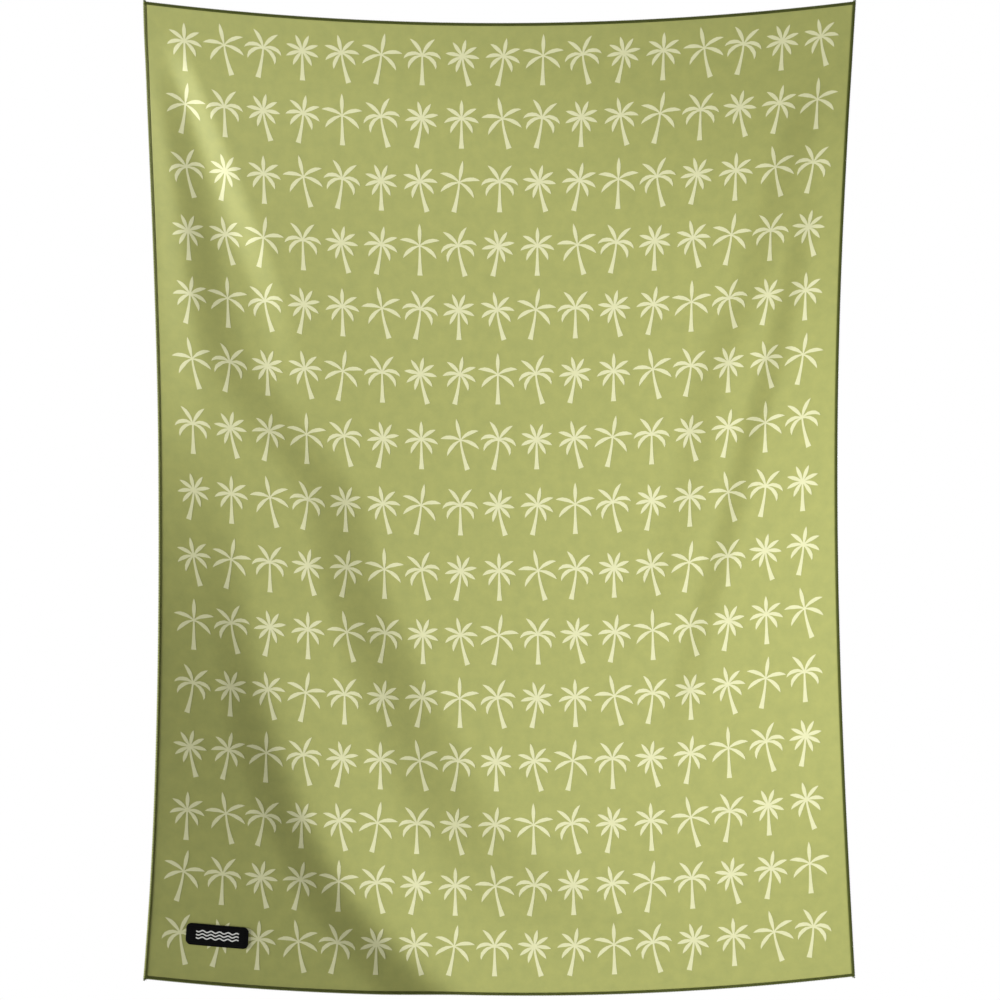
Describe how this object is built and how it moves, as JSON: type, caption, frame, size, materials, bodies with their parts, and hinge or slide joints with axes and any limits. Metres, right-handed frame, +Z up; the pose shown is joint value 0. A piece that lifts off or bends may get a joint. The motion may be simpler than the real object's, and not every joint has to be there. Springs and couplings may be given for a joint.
{
  "type": "quick dry towel",
  "caption": "Thin rectangular travel towel hung by its two top corners, with overlocked edges and a small sewn label near the lower left corner.",
  "frame": {"origin": "midpoint of the straight line between the two held top corners, in the middle of the cloth's thickness", "axes": "+X to the right along the line of the held corners, seen from the front; -Y out of the printed front; +Z up"},
  "size_m": [0.7616, 0.0953, 1.0632],
  "materials": {
    "towel_cloth": "matt knitted microfibre with a soft sheen, olive green",
    "printed_pigment": "cream pigment printed into the face of the cloth",
    "overlock_thread": "spun polyester sewing thread, dark olive",
    "label_patch": "dense black woven patch",
    "label_thread": "black polyester sewing thread",
    "label_mark": "raised white print"
  },
  "bodies": {
    "root": {"towel_cloth": "towel_cloth", "upper_looper_thread_left": "overlock_thread", "upper_looper_thread_right": "overlock_thread", "upper_looper_thread_top": "overlock_thread", "upper_looper_thread_bottom": "overlock_thread", "lower_looper_thread_left": "overlock_thread", "lower_looper_thread_right": "overlock_thread", "lower_looper_thread_top": "overlock_thread", "lower_looper_thread_bottom": "overlock_thread", "needle_thread_left": "overlock_thread", "needle_thread_right": "overlock_thread", "needle_thread_top": "overlock_thread", "needle_thread_bottom": "overlock_thread", "label_patch": "label_patch", "label_stitching": "label_thread"}
  },
  "joints": []
}
